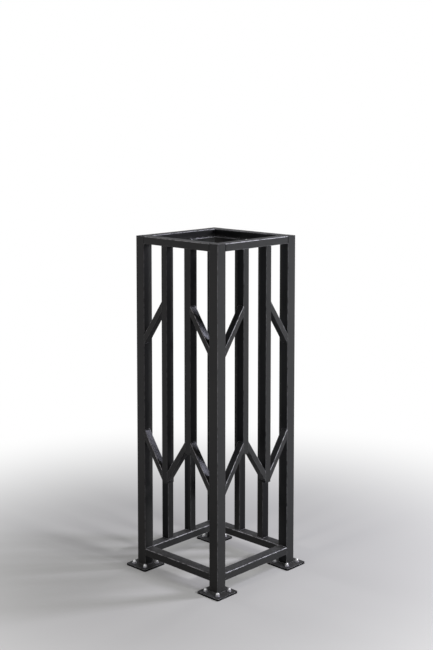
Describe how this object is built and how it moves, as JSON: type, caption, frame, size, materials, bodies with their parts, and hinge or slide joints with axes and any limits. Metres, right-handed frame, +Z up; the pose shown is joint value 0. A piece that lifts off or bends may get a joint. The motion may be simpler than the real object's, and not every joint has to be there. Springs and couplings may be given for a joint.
{
  "type": "tree guard",
  "caption": "Square steel cage of box section on bolted base plates, with upright bars and diagonal braces, that stands round a street tree and protects its trunk.",
  "frame": {"origin": "middle of the square cage, on the underside of the base plates", "axes": "+Z up, +X to the right and +Y to the back: the braced sides face -Y (front) and +X (right)"},
  "size_m": [0.69, 0.69, 1.8],
  "materials": {
    "frame_paint": "satin anthracite black powder coat",
    "plate_paint": "dusty satin anthracite black powder coat on flat plate",
    "weld_paint": "powder coat over a weld bead, worn pale on its crest",
    "nut_steel": "bright stainless steel",
    "washer_zinc": "dull zinc plate",
    "joint_zinc": "zinc plate"
  },
  "bodies": {
    "root": {"front_left_post": "frame_paint", "front_left_post_cap": "frame_paint", "front_left_base_plate": "plate_paint", "front_left_foot_weld": "weld_paint", "front_right_post": "frame_paint", "front_right_post_cap": "frame_paint", "front_right_base_plate": "plate_paint", "front_right_foot_weld": "weld_paint", "back_right_post": "frame_paint", "back_right_post_cap": "frame_paint", "back_right_base_plate": "plate_paint", "back_right_foot_weld": "weld_paint", "back_left_post": "frame_paint", "back_left_post_cap": "frame_paint", "back_left_base_plate": "plate_paint", "back_left_foot_weld": "weld_paint", "front_top_rail": "frame_paint", "front_bottom_rail": "frame_paint", "front_upright_1": "frame_paint", "front_upright_2": "frame_paint", "right_top_rail": "frame_paint", "right_bottom_rail": "frame_paint", "right_upright_1": "frame_paint", "right_upright_2": "frame_paint", "back_top_rail": "frame_paint", "back_bottom_rail": "frame_paint", "back_upright_1": "frame_paint", "back_upright_2": "frame_paint", "left_top_rail": "frame_paint", "left_bottom_rail": "frame_paint", "left_upright_1": "frame_paint", "left_upright_2": "frame_paint", "front_upper_brace_1": "frame_paint", "front_upper_brace_3": "frame_paint", "front_lower_brace_1": "frame_paint", "front_lower_brace_2": "frame_paint", "front_lower_brace_3": "frame_paint", "right_upper_brace_1": "frame_paint", "right_upper_brace_3": "frame_paint", "right_lower_brace_1": "frame_paint", "right_lower_brace_2": "frame_paint", "right_lower_brace_3": "frame_paint", "left_tie_bar": "frame_paint", "back_tie_bar": "frame_paint", "anchor_washers": "washer_zinc", "dome_nuts": "nut_steel", "left_top_joint_lug": "plate_paint", "left_bottom_joint_lug": "plate_paint", "left_joint_screws": "joint_zinc", "left_weld_nuts": "joint_zinc", "back_top_joint_lug": "plate_paint", "back_bottom_joint_lug": "plate_paint", "back_joint_screws": "joint_zinc", "back_weld_nuts": "joint_zinc"}
  },
  "joints": []
}
